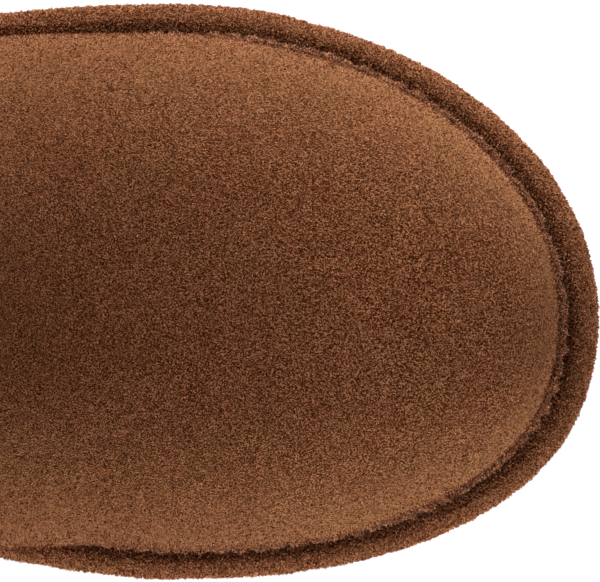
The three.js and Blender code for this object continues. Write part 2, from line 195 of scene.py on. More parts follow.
def plan_point(turn, inset):
    """x and y of the plan's edge, and the spine place that it faces."""
    turn, inset = np.broadcast_arrays(np.asarray(turn, float), np.asarray(inset, float))
    whole = turn - np.floor(turn)
    inner = whole <= 0.5
    half = np.where(inner, whole * 2, 2 - whole * 2)
    out = []
    for side in ("medial", "lateral"):
        s = side_sizes(side, inset)
        power = 2 / TOE_POWER[side]
        angle = np.clip(half / TOE_SHARE, 0, 1) * (math.pi / 2)
        toe_x = s["tip_x"] + (s["ball_x"] - s["tip_x"]) * np.sin(angle) ** power
        toe_y = s["ball_y"] + (s["tip_y"] - s["ball_y"]) * np.abs(np.cos(angle)) ** power
        power = 2 / HEEL_POWER
        angle = np.clip((half - HEEL_SHARE) / (1 - HEEL_SHARE), 0, 1) * (math.pi / 2)
        heel_x = s["back_x"] * np.abs(np.cos(angle)) ** power
        heel_y = s["back_y"] - (s["back_y"] - s["heel_y"]) * np.sin(angle) ** power
        waist_y = mix(s["ball_y"], s["back_y"], (half - TOE_SHARE) / (HEEL_SHARE - TOE_SHARE))
        waist_x = waist_edge(side, waist_y, inset)
        toe = half < TOE_SHARE
        heel = half > HEEL_SHARE
        x = np.where(toe, toe_x, np.where(heel, heel_x, waist_x))
        y = np.where(toe, toe_y, np.where(heel, heel_y, waist_y))
        spine = np.where(toe, s["ball_y"], np.where(heel, s["back_y"], waist_y))
        out.append((x, y, spine))
    return [np.where(inner, a, b) for a, b in zip(*out)]


def crest_at(y):
    return BALL_WIDTH * TOE_OFFSET * smooth((share_of(y) - CREST["from"]) / (CREST["to"] - CREST["from"]))


def plan_gauge(x, y, inset):
    """Where a point lies in the plan: 0 on the crest line, 1 on the edge."""
    off = x - crest_at(y)
    inner = smooth(0.5 + off / CREST["blend"])
    ball_y = place_of(mix(BALL["lateral"], BALL["medial"], inner))
    power = mix(TOE_POWER["lateral"], TOE_POWER["medial"], inner)
    gauges = []
    for side in ("medial", "lateral"):
        s = side_sizes(side, inset)
        across = np.abs(off / (s["ball_x"] - s["tip_x"]))
        along = np.maximum(0, (y - ball_y) / (s["tip_y"] - ball_y))
        toe = (across**power + along**power) ** (1 / power)
        across = np.abs(off / s["back_x"])
        along = np.maximum(0, (s["back_y"] - y) / (s["back_y"] - s["heel_y"]))
        heel = (across**HEEL_POWER + along**HEEL_POWER) ** (1 / HEEL_POWER)
        side_ball = s["ball_y"]
        waist = np.abs(off / (waist_edge(side, np.minimum(y, side_ball), inset) - crest_at(y)))
        gauges.append(np.where(y > ball_y, toe, np.where(y < s["back_y"], heel, waist)))
    return np.where(off > 0, gauges[0], gauges[1])


def swung(t):
    return 1 - (1 - np.clip(t, 0, 1)) ** 2


def foot_gauge(x, y, z):
    up = z - seat_at(y)
    share = share_of(y)
    swell = BALL_WIDTH * np.where(
        x > crest_at(y),
        table_at(SWELL, "at", "medial", share),
        table_at(SWELL, "at", "lateral", share),
    )
    inset = LEDGE - BULGE * swung(up / TOE_WALL) - swell * swung(up / SWELL_HEIGHT)
    plan = plan_gauge(x, y, inset)
    high = np.maximum(0, up - TOE_WALL) / (INSTEP * table_at(DOME, "at", "height", share))
    total = plan ** DOME_POWER["across"] + high ** DOME_POWER["up"]
    return FORM_SIZE * (total ** (2 / (DOME_POWER["across"] + DOME_POWER["up"])) - 1)


def shaft_gauge(x, y, z):
    up = z / BOOT_HEIGHT
    centre = SHAFT_CENTRE - LENGTH / 2
    ends = [table_at(SHAFT, "up", end, up) for end in ("front", "back")]
    reach = SHAFT_LENGTH / 2 * np.where(y > centre, ends[0], ends[1])
    wide = SHAFT_WIDTH / 2 * table_at(SHAFT, "up", "side", up)
    total = (np.abs(x) / wide) ** SHAFT_POWER + (np.abs(y - centre) / reach) ** SHAFT_POWER
    return FORM_SIZE * (total ** (1 / SHAFT_POWER) - 1)


def boot_gauge(x, y, z):
    foot = foot_gauge(x, y, z)
    shaft = shaft_gauge(x, y, z)
    size = BLEND * smooth((z - seat_at(y)) / BLEND_CLIMB) + GAP
    near = np.maximum(0, size - np.abs(foot - shaft)) / size
    return np.minimum(foot, shaft) - near**3 * size / 6


def row_height(share, y):
    level = place_of(0.5)
    seat = mix(seat_at(y), seat_at(level), smooth(share / 0.5))
    return seat + share * (BOOT_HEIGHT - seat_at(level))


def outer_points(turn, share):
    """Points of the upper's outer face, found along rays from the boot's spine."""
    turn, share = np.broadcast_arrays(np.asarray(turn, float), np.asarray(share, float))
    foot_x, foot_y, spine = plan_point(turn, LEDGE)
    angle = turn * 2 * math.pi
    moved = smooth((share - SPINE_START) / (SPINE_END - SPINE_START))
    centre = SHAFT_CENTRE - LENGTH / 2
    spine_y = mix(spine, centre, moved)
    dir_x = mix(foot_x, np.sin(angle) * SHAFT_WIDTH / 2, moved)
    dir_y = mix(foot_y - spine, np.cos(angle) * SHAFT_LENGTH / 2, moved)
    low = np.zeros(turn.shape)
    high = np.full(turn.shape, RAY_REACH)
    for _ in range(RAY_HALVINGS):
        t = (low + high) / 2
        y = spine_y + dir_y * t
        inside = boot_gauge(dir_x * t, y, row_height(share, y)) < 0
        low = np.where(inside, t, low)
        high = np.where(inside, high, t)
    y = spine_y + dir_y * low
    return np.stack([dir_x * low, y, row_height(share, y)], axis=-1)


def normals_of(points, closed=False):
    """Unit normals of a grid of points, rows by columns, that run round the boot."""
    if closed:
        wide = np.concatenate([points[:, -1:], points, points[:, :1]], axis=1)
        round_ = wide[:, 2:] - wide[:, :-2]
    else:
        round_ = np.gradient(points, axis=1)
    up = np.gradient(points, axis=0)
    return unit(np.cross(up, round_))


def run_along(path):
    """Distance from a path's first point to each of its points."""
    return np.concatenate([[0], np.cumsum(np.linalg.norm(np.diff(path, axis=0), axis=1))])


def spots_on(at, run, values):
    """Points or directions at distances along a path."""
    return np.stack([np.interp(at, run, values[:, k]) for k in range(3)], axis=1)


# Smooth value noise on a grid, the same each run
HASH_FACTORS = (374761393, 668265263, 2147483647, 144665)
HASH_MIX = 1274126177
HASH_BITS = 0xFFFFFFFF


def hashed(ix, iy, iz, seed):
    value = sum(part * factor for part, factor in zip((ix, iy, iz, seed), HASH_FACTORS)) & HASH_BITS
    value = ((value ^ (value >> 13)) * HASH_MIX) & HASH_BITS
    return ((value ^ (value >> 16)) & 0xFFFF) / 32767.5 - 1


def noise(points, size, seed=0):
    """Smooth noise from -1 to 1 at points in millimetres, with features of that size."""
    p = np.asarray(points, float) / size + 1000
    cell = np.floor(p).astype(np.int64)
    t = p - cell
    t = t * t * (3 - 2 * t)
    total = 0
    for step in np.ndindex(2, 2, 2):
        corner = hashed(*np.moveaxis(cell + step, -1, 0), seed)
        total = total + corner * np.where(step, t, 1 - t).prod(axis=-1)
    return total


def swells(points, layers):
    """Noise of several sizes: (height, size, seed) of each, in millimetres."""
    return sum(height * noise(points, size, seed) for height, size, seed in layers)


# Meshes
def in_scene(name, data):
    """A new object of the scene, with its data."""
    thing = bpy.data.objects.new(name, data)
    bpy.context.scene.collection.objects.link(thing)
    return thing


def new_piece(name, points, faces, slot, material, smooth_faces=True):
    mesh = bpy.data.meshes.new(name)
    mesh.from_pydata((np.asarray(points) * MM).reshape(-1, 3).tolist(), [], faces)
    mesh.validate()
    if smooth_faces:
        mesh.polygons.foreach_set("use_smooth", [True] * len(mesh.polygons))
    mesh.update()
    piece = in_scene(name, mesh)
    mesh.materials.append(material)
    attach(piece, "root")
    return piece


def grid_faces(rows, columns, closed=False, flip=False):
    """Quads of a grid of points, rows by columns."""
    r, c = np.meshgrid(np.arange(rows - 1), np.arange(columns if closed else columns - 1), indexing="ij")
    d = (c + 1) % columns
    low, high = r * columns, (r + 1) * columns
    quads = np.stack([low + c, low + d, high + d, high + c], axis=-1).reshape(-1, 4)
    if flip:
        quads = quads[:, ::-1]
    return quads.tolist()


def grid_piece(name, points, slot, material, closed=True, flip=True):
    faces = grid_faces(*points.shape[:2], closed, flip)
    return new_piece(name, points, faces, slot, material)


def tube(path, radius, sides=6):
    """Points and faces of a round thread along a path of points."""
    path = np.asarray(path, float)
    ahead = unit(np.gradient(path, axis=0))
    guide = np.where(np.abs(ahead[:, 2:3]) > 0.9, [[1.0, 0, 0]], [[0, 0, 1.0]])
    side = unit(np.cross(ahead, guide))
    up = np.cross(side, ahead)
    angle = np.arange(sides) / sides * 2 * math.pi
    radii = np.full(len(path), radius) if np.isscalar(radius) else np.asarray(radius)
    ring = path[:, None] + radii[:, None, None] * (
        np.cos(angle)[None, :, None] * side[:, None] + np.sin(angle)[None, :, None] * up[:, None]
    )
    faces = grid_faces(len(path), sides, closed=True)
    faces.append(list(range(sides))[::-1])
    faces.append([(len(path) - 1) * sides + k for k in range(sides)])
    return ring.reshape(-1, 3), faces


def joined(parts):
    """One list of points and faces from several."""
    points = []
    faces = []
    count = 0
    for part_points, part_faces in parts:
        points.append(part_points)
        faces.extend([[i + count for i in face] for face in part_faces])
        count += len(part_points)
    return np.concatenate(points), faces


# Materials
def linear(colour):
    """A colour given as 0 to 255 in sRGB, as the shader wants it."""
    share = [c / 255 for c in colour]
    return [c / 12.92 if c < 0.04045 else ((c + 0.055) / 1.055) ** 2.4 for c in share] + [1.0]


class Nodes:
    """Short calls for a material's nodes."""

    def __init__(self, name):
        self.material = bpy.data.materials.new(name)
        self.material.use_nodes = True
        self.tree = self.material.node_tree
        self.shader = self.tree.nodes["Principled BSDF"]
        self.coords = self.tree.nodes.new("ShaderNodeTexCoord").outputs["Object"]

    def put(self, socket, value):
        """Sets an input to a value, or links it to another node's output."""
        if isinstance(value, bpy.types.NodeSocket):
            self.tree.links.new(value, socket)
        else:
            socket.default_value = value

    def new(self, kind, inputs, **settings):
        """The outputs of a new node, its settings made before its inputs."""
        node = self.tree.nodes.new("ShaderNode" + kind)
        for name, value in settings.items():
            setattr(node, name, value)
        for name, value in inputs.items():
            self.put(node.inputs[name], value)
        return node.outputs

    def mapped(self, turn, stretch):
        turn = [math.radians(a) for a in turn]
        return self.new("Mapping", {"Vector": self.coords, "Rotation": turn, "Scale": stretch})["Vector"]

    def noise(self, size_mm, detail, rough, vector=None, distortion=0.0):
        inputs = {"Scale": 1000 / size_mm, "Detail": detail, "Roughness": rough, "Distortion": distortion}
        inputs["Vector"] = vector or self.coords
        return self.new("TexNoise", inputs)["Fac"]

    def cells(self, size_mm):
        return self.new("TexVoronoi", {"Scale": 1000 / size_mm, "Vector": self.coords})["Distance"]

    def math(self, kind, a, b):
        return self.new("Math", {0: a, 1: b}, operation=kind)[0]

    def spread(self, *terms):
        """0.5 plus each noise's distance from its middle times its weight."""
        total = 0.5
        for source, weight in terms:
            part = self.math("MULTIPLY", self.math("SUBTRACT", source, 0.5), weight)
            total = self.math("ADD", part, total)
        return total

    def ramp(self, factor, stops):
        node = self.tree.nodes.new("ShaderNodeValToRGB")
        ramp = node.color_ramp
        while len(ramp.elements) < len(stops):
            ramp.elements.new(0.5)
        for element, (place, colour) in zip(ramp.elements, stops):
            element.position = place
            element.color = linear(colour)
        self.put(node.inputs["Fac"], factor)
        return node.outputs["Color"]

    def distance(self, place_mm, reach_mm):
        """How far a point is from a place, as a share of the reach."""
        inputs = {0: self.coords, 1: [v * MM for v in place_mm]}
        away = self.new("VectorMath", inputs, operation="DISTANCE")["Value"]
        return self.math("DIVIDE", away, reach_mm * MM)

    def shaded(self, colour):
        """A colour times the painted shade that set_painted_shade stores on the mesh."""
        share = self.new("Attribute", {}, attribute_name="shade")["Fac"]
        return self.new("VectorMath", {0: colour, "Scale": share}, operation="SCALE")["Vector"]

    def tinted(self, colour, factor, ends, stops=(0.35, 0.65)):
        """A colour times one that wanders between two ends."""
        inputs = {"Factor": 1.0, "A": colour, "B": self.ramp(factor, list(zip(stops, ends)))}
        return self.new("Mix", inputs, data_type="RGBA", blend_type="MULTIPLY")["Result"]

    def bump(self, height, depth_mm, strength):
        inputs = {"Height": height, "Distance": depth_mm * MM, "Strength": strength}
        return self.new("Bump", inputs)["Normal"]

    def finish(self, colour, normal=None, **values):
        self.put(self.shader.inputs["Base Color"], colour)
        if normal is not None:
            self.put(self.shader.inputs["Normal"], normal)
        for name, value in values.items():
            self.put(self.shader.inputs[name.replace("_", " ")], value)
        return self.material


# Suede in sRGB, from the depth between the fibres to their tips, with its place on the grain's scale
SUEDE_TONES = [(0.06, (62, 20, 3)), (0.4, (92, 43, 17)), (0.62, (116, 64, 34)), (0.98, (188, 129, 94))]
SUEDE_SHEEN = (1.0, 0.5, 0.22, 1.0)
SUEDE_TINTS = ((255, 247, 244), (250, 253, 243))
GRAIN = 0.21  # size of the finest grain
GRAIN_TURN = (0, 0, -38)  # degrees: the nap lies slantwise over the toe
INSTEP_SHADE_AT = (3, 14, 106)  # painted shade: round here, at the instep, the suede is painted darker
INSTEP_SHADE_REACH = 100
INSTEP_PAINTED_SHADE = ((208, 204, 200), (255, 255, 255))
INSTEP_SHADE_STOPS = (0.3, 0.9)
NEAR_FLECKS = 0.4  # weight of the coarser grain at the instep
SIDE_FLECKS = 1.5  # how much more it has away from there, painted fibre shade and highlight at the sides


def suede(name, painted_shade=False):
    n = Nodes(name)
    slanted = n.mapped(GRAIN_TURN, (1.0, 0.72, 1.0))
    fine = n.noise(GRAIN, 1.5, 0.6, slanted, 0.6)
    flecks = n.noise(GRAIN * 1.9, 1.0, 0.5, slanted)
    brushed = n.noise(8, 3.0, 0.6, n.mapped(GRAIN_TURN, (1.0, 0.5, 1.0)))
    cloud = n.noise(30, 2.0, 0.5)
    away = n.distance(INSTEP_SHADE_AT, INSTEP_SHADE_REACH)
    # Grain contrast raised away from the instep: real grain, with painted fibre shade and highlight at the
    # sides
    off_instep = n.math("MINIMUM", n.math("POWER", away, 2.0), 1.0)
    fleck_weight = n.math("ADD", n.math("MULTIPLY", off_instep, SIDE_FLECKS), NEAR_FLECKS)
    factor = n.spread((fine, 4.8), (flecks, fleck_weight), (brushed, 0.132), (cloud, 0.12))
    colour = n.tinted(n.ramp(factor, SUEDE_TONES), n.noise(12, 2.0, 0.5), SUEDE_TINTS)
    # Painted shade: the suede darkens towards the instep
    colour = n.tinted(colour, away, INSTEP_PAINTED_SHADE, INSTEP_SHADE_STOPS)
    # Painted shade from the mesh's shade attribute
    if painted_shade:
        colour = n.shaded(colour)
    normal = n.bump(n.spread((fine, 1.0), (flecks, 0.4)), 0.5, 1.0)
    return n.finish(
        colour, normal, Roughness=0.95, Specular_IOR_Level=0.02, Sheen_Weight=0.75, Sheen_Roughness=0.34,
        Sheen_Tint=SUEDE_SHEEN,
    )


def cut_edge(name):
    """The raw edge of the hide, duller than the nap."""
    n = Nodes(name)
    fine = n.noise(0.28, 2.0, 0.6)
    patch = n.noise(1.6, 2.0, 0.6)
    factor = n.spread((fine, 2.2), (patch, 0.9))
    stops = [(0.15, (62, 30, 18)), (0.45, (120, 69, 44)), (0.65, (152, 94, 62)), (0.9, (200, 144, 106))]
    normal = n.bump(n.spread((fine, 1.0), (patch, 0.6)), 0.3, 0.8)
    return n.finish(n.ramp(factor, stops), normal, Roughness=0.9, Specular_IOR_Level=0.1)


def thread(name, stops):
    n = Nodes(name)
    twist = n.noise(0.35, 1.0, 0.5)
    normal = n.bump(twist, 0.15, 0.6)
    return n.finish(n.ramp(twist, stops), normal, Roughness=0.65, Specular_IOR_Level=0.2)


def fleece(name):
    n = Nodes(name)
    curls = n.cells(2.6)
    fibres = n.noise(0.7, 3.0, 0.65)
    cloud = n.noise(16, 2.0, 0.5)
    factor = n.spread((fibres, 0.9), (curls, 0.5), (cloud, 0.4))
    stops = [(0.1, (150, 106, 68)), (0.45, (192, 148, 102)), (0.7, (214, 174, 128))]
    stops.append((0.95, (236, 206, 166)))
    normal = n.bump(n.spread((curls, 1.0), (fibres, 0.7)), 0.9, 0.8)
    return n.finish(
        n.ramp(factor, stops), normal, Roughness=1.0, Specular_IOR_Level=0.1, Sheen_Weight=0.5,
        Sheen_Roughness=0.5, Sheen_Tint=(1.0, 0.92, 0.8, 1.0),
    )


def sole_rubber(name):
    n = Nodes(name)
    pebble = n.noise(0.8, 2.0, 0.5)
    scuff = n.noise(14, 4.0, 0.6)
    factor = n.spread((pebble, 0.5), (scuff, 0.7))
    stops = [(0.2, (76, 48, 32)), (0.5, (104, 70, 48)), (0.8, (128, 90, 64))]
    normal = n.bump(pebble, 0.12, 0.5)
    return n.finish(n.ramp(factor, stops), normal, Roughness=0.72, Specular_IOR_Level=0.35)


SUEDE = suede("suede")
# The wrap's suede carries the roll's painted shade
WRAP_SUEDE = suede("wrap_suede", painted_shade=True)
EDGE = cut_edge("cut_edge")
LIP_THREAD = thread("lip_thread", [(0.3, (92, 52, 36)), (0.6, (120, 76, 52)), (0.85, (170, 124, 96))])
SEAM_THREAD = thread("seam_thread", [(0.3, (84, 50, 32)), (0.6, (128, 84, 56)), (0.8, (160, 114, 82))])
FLEECE = fleece("fleece")
RUBBER = sole_rubber("sole_rubber")


# The upper's outer face
SIDE_SEAM = 0.272  # of a turn from the toe's tip, on both sides
FOLDS = {
    # a soft trough with its two low ridges: share of the height and turn of its middle, how far round
    # it reaches, its slant, and its depth and width
    "share": [0.4, 0.5, 0.62, 0.36, 0.45, 0.34, 0.43, 0.57, 0.72],
    "turn": [0.0, 0.02, -0.02, 0.2, 0.26, -0.2, -0.26, 0.4, -0.38],
    "reach": [0.16, 0.15, 0.14, 0.1, 0.12, 0.11, 0.12, 0.12, 0.13],
    "slant": [0.0, 0.2, -0.15, -0.5, -0.3, 0.55, 0.3, 0.25, -0.2],
    "depth": [0.9, 1.1, 0.8, 1.5, 1.5, 1.4, 1.6, 1.4, 1.1],
    "width": [9.0, 10.0, 12.0, 9.0, 11.0, 9.0, 11.0, 12.0, 13.0],
}
FOLD_SAG = 1.5  # how much a fold's ends rise or its middle sags
FOLD_RIDGE = 1.2  # how much its sides puff up
HIDE_SWELLS = ((0.42, 34, 3), (0.22, 13, 5), (0.07, 4.5, 8))
CALM_FOOT = 0.05  # below this share of the height the hide is held even by its seam
HEIGHT_OVER_SEAT = BOOT_HEIGHT - seat_at(0.0)


def folds_at(turn, share):
    around = (turn + 0.5) % 1 - 0.5
    total = np.zeros(np.broadcast(around, share).shape)
    for share0, turn0, reach, slant, depth, width in zip(*FOLDS.values()):
        away = (around - turn0 + 0.5) % 1 - 0.5
        line = share0 + slant * away + FOLD_SAG * away**2
        q = (share - line) * HEIGHT_OVER_SEAT / width
        total += -depth * (1 - FOLD_RIDGE * q * q) * bell(q, 1) * bell(away, reach)
    return total


def soft_surface(points, turn, share):
    """The hide's own unevenness along its normal: folds, and slow swells of the fleece."""
    return (folds_at(turn, share) + swells(points, HIDE_SWELLS)) * smooth(share / CALM_FOOT)


def rows_of(*stretches):
    """Shares of height: (from, to, steps) one after another."""
    parts = [np.linspace(a, b, n, endpoint=False) for a, b, n in stretches]
    return np.concatenate(parts + [[stretches[-1][1]]])


UPPER_SHARES = rows_of((0, 0.06, 14), (0.06, 0.46, 106), (0.46, 1, 48))
FRONT_COLUMNS, BACK_COLUMNS = 290, 100


SEAM = {"depth": 1.5, "width": 1.3, "puff": 0.55, "puff_at": 3.6, "puff_width": 2.4}


def row_runs(points):
    """Distance along each row of a grid of points from its first."""
    step = np.linalg.norm(np.diff(points, axis=1), axis=-1)
    return np.concatenate([np.zeros((len(points), 1)), np.cumsum(step, axis=1)], axis=1)


def seam_trough(points):
    """A stitched seam at both ends of each row: a narrow trough with puffed sides."""
    run = row_runs(points)
    away = np.minimum(run, run[:, -1:] - run)
    puff = SEAM["puff"] * bell(away - SEAM["puff_at"], SEAM["puff_width"])
    return puff - SEAM["depth"] * bell(away, SEAM["width"])


# The hide is drawn in over the toe, under its nap: from y on, over so many mm, and below z
TOE_TUCK = {"depth": 0.55, "from_y": 5, "over_y": 40, "below_z": 75, "over_z": 30}


def toe_tuck(points):
    forward = smooth((points[..., 1] - TOE_TUCK["from_y"]) / TOE_TUCK["over_y"])
    downward = smooth((TOE_TUCK["below_z"] - points[..., 2]) / TOE_TUCK["over_z"])
    return TOE_TUCK["depth"] * forward * downward


def hide_panel(name, start, end, columns):
    turn, share = np.meshgrid(np.linspace(start, end, columns), UPPER_SHARES)
    points = outer_points(turn, share)
    normal = normals_of(points)
    lift = soft_surface(points, turn, share) + seam_trough(points) - toe_tuck(points)
    points = points + normal * lift[..., None]
    return grid_piece(name, points, "suede", SUEDE, closed=False), points, normal


front, front_points, front_normals = hide_panel("upper_front", -SIDE_SEAM, SIDE_SEAM, FRONT_COLUMNS)
hide_panel("upper_inner_quarter", SIDE_SEAM, 0.5, BACK_COLUMNS)
hide_panel("upper_outer_quarter", 0.5, 1 - SIDE_SEAM, BACK_COLUMNS)
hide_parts("upper")


# The lip: the raw edge of the hide, turned out on the midsole and whipped over with thread
LIP_PITCH = 3.4
LIP_STEPS = 10  # points along the lip from one stitch to the next
LIP_FOOT = 0.006  # share of the height where the lip is measured off
survey_turn = np.linspace(0, 1, 1801)
foot_line = outer_points(survey_turn[:-1], np.full(len(survey_turn) - 1, LIP_FOOT))
run = run_along(foot_line)
around = run[-1] + np.linalg.norm(foot_line[0] - foot_line[-1])
stitches = round(around / LIP_PITCH)
even = np.arange(stitches * LIP_STEPS) / (stitches * LIP_STEPS)
lip_turn = np.interp(even * around, np.append(run, around), survey_turn)
lip_phase = (even * stitches) % 1


def seat_ring(turns, inset, height):
    """Points at an inset from the sole's edge, at a height over the seat."""
    x, y, _ = plan_point(turns, inset)
    return np.stack([x, y, seat_at(y) + height], axis=-1)


foot_x, foot_y, _ = plan_point(lip_turn, LEDGE)
lip_foot = np.stack([foot_x, foot_y, np.zeros_like(foot_x)], axis=-1)

# A scallop bulges between two stitches and is pulled in under each
SCALLOP = {"depth": 0.34, "varies": 0.24, "pull": 0.1, "pull_width": 0.16, "back": 0.3}
pulled = bell(np.minimum(lip_phase, 1 - lip_phase), SCALLOP["pull_width"])
depth = SCALLOP["depth"] + SCALLOP["varies"] * noise(lip_foot, 6.0, 14)
scallop = depth * (0.5 - 0.5 * np.cos(2 * math.pi * lip_phase)) - SCALLOP["pull"] * pulled - SCALLOP["back"]
rough = 0.3 * noise(lip_foot, 2.0, 11) + 0.3 * noise(lip_foot, 0.8, 12)
LIP_HIDDEN = {
    # how far the lip stays back under the hide on both sides, along the boot
    "y": [30, 42, 60, 76, 105, 122],
    "medial": [1.3, 0.7, 0.5, 0.5, 0.4, 0.0],
    "lateral": [1.4, 1.4, 0.9, 0.1, 0.0, 0.0],
}
hidden = np.where(
    lip_turn % 1 < 0.5,
    np.interp(foot_y, LIP_HIDDEN["y"], LIP_HIDDEN["medial"]),
    np.interp(foot_y, LIP_HIDDEN["y"], LIP_HIDDEN["lateral"]),
)
outer = LEDGE - LIP_WIDTH - scallop - rough * 0.6 + hidden
lift = 0.35 * noise(lip_foot, 3.0, 13) - 0.15 * pulled
LIP_PROFILE = {
    # points round the lip's section: share of its width from its foot, and height
    "share": [-0.25, -0.1, 0.15, 0.45, 0.72, 0.9, 1.0, 0.98, 0.85, 0.4],
    "height": [0.5, 2.1, 2.3, 2.25, 2.3, 2.05, 1.55, 0.95, 0.55, 0.5],
}
rings = [
    seat_ring(lip_turn, mix(LEDGE, outer, share), height + lift * max(share, 0) * (height > 0.6))
    for share, height in zip(*LIP_PROFILE.values())
]
rings = np.stack(rings + rings[:1])
lip = grid_piece("lip_edge", rings, "suede_edge", EDGE, flip=False)
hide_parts("seam_lip")


WHIP = {
    # points of a stitch: steps ahead along the lip, share of its width from its foot, and height
    "ahead": [0, 0, 1, 2, 3, 3],
    "share": [-0.05, 0.3, 0.75, 1.1, 1.12, 0.85],
    "height": [2.35, 2.5, 2.45, 1.9, 1.0, 0.35],
}
WHIP_RADIUS = 0.13


def whip_stitch(k):
    """One thread of the whip seam, from the foot of the upper over the lip's edge."""
    first = k * LIP_STEPS
    ahead, share, height = (np.array(column) for column in WHIP.values())
    turns = lip_turn[(first + ahead) % len(lip_turn)]
    turns = np.unwrap(turns * 2 * math.pi) / (2 * math.pi)
    return tube(seat_ring(turns, mix(LEDGE, outer[first], share), height), WHIP_RADIUS)


lip_stitches = joined([whip_stitch(k) for k in range(stitches)])
new_piece("lip_stitches", *lip_stitches, "suede_edge", LIP_THREAD)


# The midsole in its suede wrap, ring by ring from underneath to below the lip
WRAP_COLUMNS = 800
WRAP_TUCK = 0.5  # how far the wrap is drawn down under the lip
TUCK_FROM = 0.72  # share of the round shoulder where that begins
SIDE_FOOT = 2.4  # height over the parting where the wrap's side begins
SIDE_RINGS = 8
ROUND_RINGS = 26
UNDER = {
    # rings underneath: inset, and height over the parting
    "inset": [WRAP_UNDER + 3.6, WRAP_UNDER + 1.6, WRAP_UNDER * 0.6, WRAP_UNDER * 0.12],
    "up": [0.05, 0.0, 0.6, SIDE_FOOT],
}
BELOW_LIP = [0.8, 1.8, 3.5]  # insets of the rings under the lip, from the shoulder's end
WRAP_SWELLS = ((0.22, 17, 21), (0.14, 5.5, 22))
WRAP_IN = 0.2  # how far it is drawn in under its nap
wrap_turn = np.arange(WRAP_COLUMNS) / WRAP_COLUMNS
shoulder = LEDGE - LIP_WIDTH


def wrap_ring(inset, height_at):
    x, y, _ = plan_point(wrap_turn, inset)
    return np.stack([x, y, height_at(y)], axis=-1)


def wrap_rings():
    for inset, up in zip(*UNDER.values()):
        yield wrap_ring(inset, lambda y: parting_at(y) + GAP / 2 + up)
    for t in np.linspace(0.25, 0.9, SIDE_RINGS):
        side_height = lambda y: mix(parting_at(y) + SIDE_FOOT, seat_at(y) - WRAP_ROUND, t)
        yield wrap_ring(0.2 * (1 - t) ** 2, side_height)
    for t in np.linspace(0.0, 1.0, ROUND_RINGS):
        angle = t * math.pi / 2
        tuck = WRAP_TUCK * smooth((t - TUCK_FROM) / (1 - TUCK_FROM))
        fall = WRAP_ROUND * (1 - math.sin(angle)) + tuck
        yield seat_ring(wrap_turn, shoulder * (1 - math.cos(angle)), -fall)
    for inset in BELOW_LIP:
        yield seat_ring(wrap_turn, shoulder + inset, -WRAP_TUCK)


wrap_points = np.stack(list(wrap_rings()))
wrap_normals = normals_of(wrap_points, closed=True)
wrap_lift = swells(wrap_points, WRAP_SWELLS) - WRAP_IN
wrap_points = wrap_points + wrap_normals * wrap_lift[..., None]
wrap = grid_piece("midsole_wrap", wrap_points, "suede", WRAP_SUEDE)
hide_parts("midsole")


def set_painted_shade(piece, values):
    """Stores painted shade: how light each point of a mesh is painted, for the materials that use it."""
    layer = piece.data.attributes.new("shade", "FLOAT", "POINT")
    layer.data.foreach_set("value", np.asarray(values, np.float32).ravel())


# Painted shade on the roll: darker towards the lip, where its groove lies in shade, and painted lighter on
# its outer side
ROLL_PAINTED_SHADE = {"under": 0.85, "foot": 1.0, "outer": 1.34, "lip": 0.66}
ring_painted_shade = np.concatenate([
    np.full(len(UNDER["up"]), ROLL_PAINTED_SHADE["under"]),
    np.linspace(ROLL_PAINTED_SHADE["foot"], ROLL_PAINTED_SHADE["outer"], SIDE_RINGS),
    mix(ROLL_PAINTED_SHADE["outer"], ROLL_PAINTED_SHADE["lip"], np.linspace(0, 1, ROUND_RINGS) ** 1.1),
    np.full(len(BELOW_LIP), ROLL_PAINTED_SHADE["lip"]),
])
wrap_painted_shade = np.repeat(ring_painted_shade[:, None], WRAP_COLUMNS, axis=1)
set_painted_shade(wrap, wrap_painted_shade)


# Nap: short fibres that stand slantwise out of the suede
RANDOM = np.random.default_rng(7)
NAP_LEAN = np.array([0.35, 0.3, -0.1])  # the way that they are brushed
NAP_WANDER = 0.75
NAP_STAND = 0.62  # how much of a fibre's way is outwards
NAP_LIE = 0.75  # and how much is its lean
NAP_WIDTH = (0.14, 0.24)  # least and most, as a share of a fibre's length
NAP_SUNK = 0.1
SPIKE_ANGLES = (0, 2.1, 4.2)


